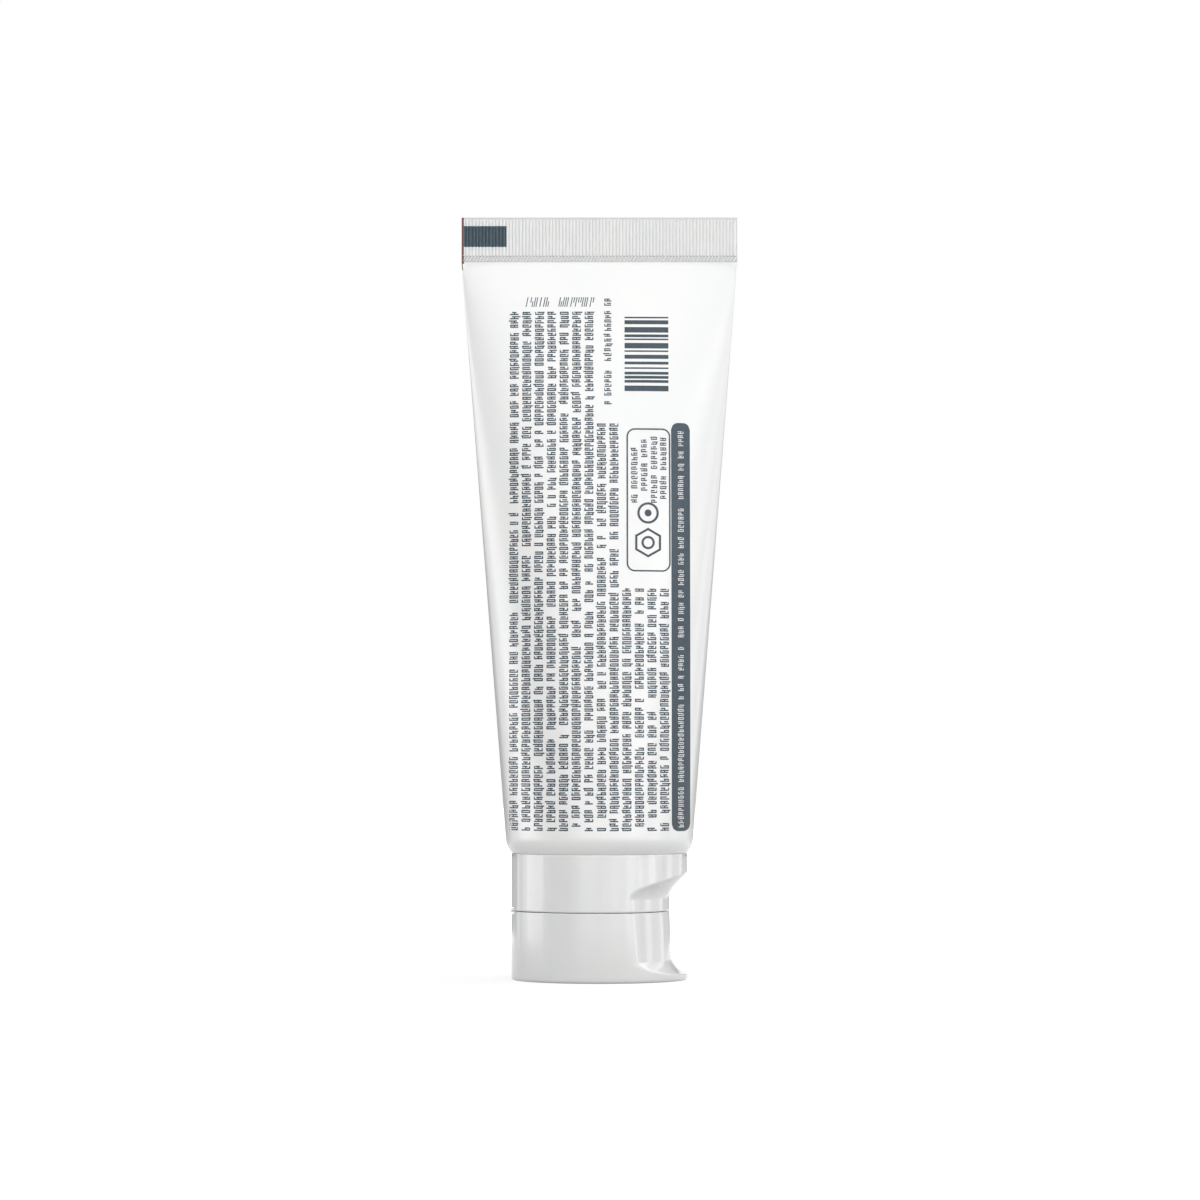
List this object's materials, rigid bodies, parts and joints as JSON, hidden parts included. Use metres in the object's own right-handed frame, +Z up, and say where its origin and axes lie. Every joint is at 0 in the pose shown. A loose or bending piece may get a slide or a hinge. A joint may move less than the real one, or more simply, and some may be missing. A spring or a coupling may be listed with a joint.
{
  "type": "toothpaste tube",
  "caption": "White toothpaste tube standing on its flip-top cap, with a flat ribbed crimp at the top and a thumb scoop in the cap.",
  "frame": {"origin": "Centre of the lid's flat end, in the plane that the tube stands on, at the foot of the tube's axis.", "axes": "+Z up the tube's axis from the cap to the crimp; X along the flat crimp, with the thumb scoop of the cap at +X and its hinge at -X; the printed back panel faces -Y."},
  "size_m": [0.0552, 0.0372, 0.1519],
  "materials": {
    "sleeve_film": "satin gloss",
    "head_plastic": "moulded",
    "paste": "soft wet paste",
    "cap_plastic": "polished mould"
  },
  "bodies": {
    "tube": {"tube_sleeve": "sleeve_film", "tube_head": "head_plastic", "toothpaste": "paste", "cap_base": "cap_plastic"},
    "lid": {"cap_lid": "cap_plastic"}
  },
  "joints": [
    {"name": "lid_hinge", "type": "hinge", "parent": "tube", "child": "lid", "pos_m": [-0.0175, 0, 0.0137], "axis": [0, 1, 0], "range_deg": [0, 155]}
  ]
}
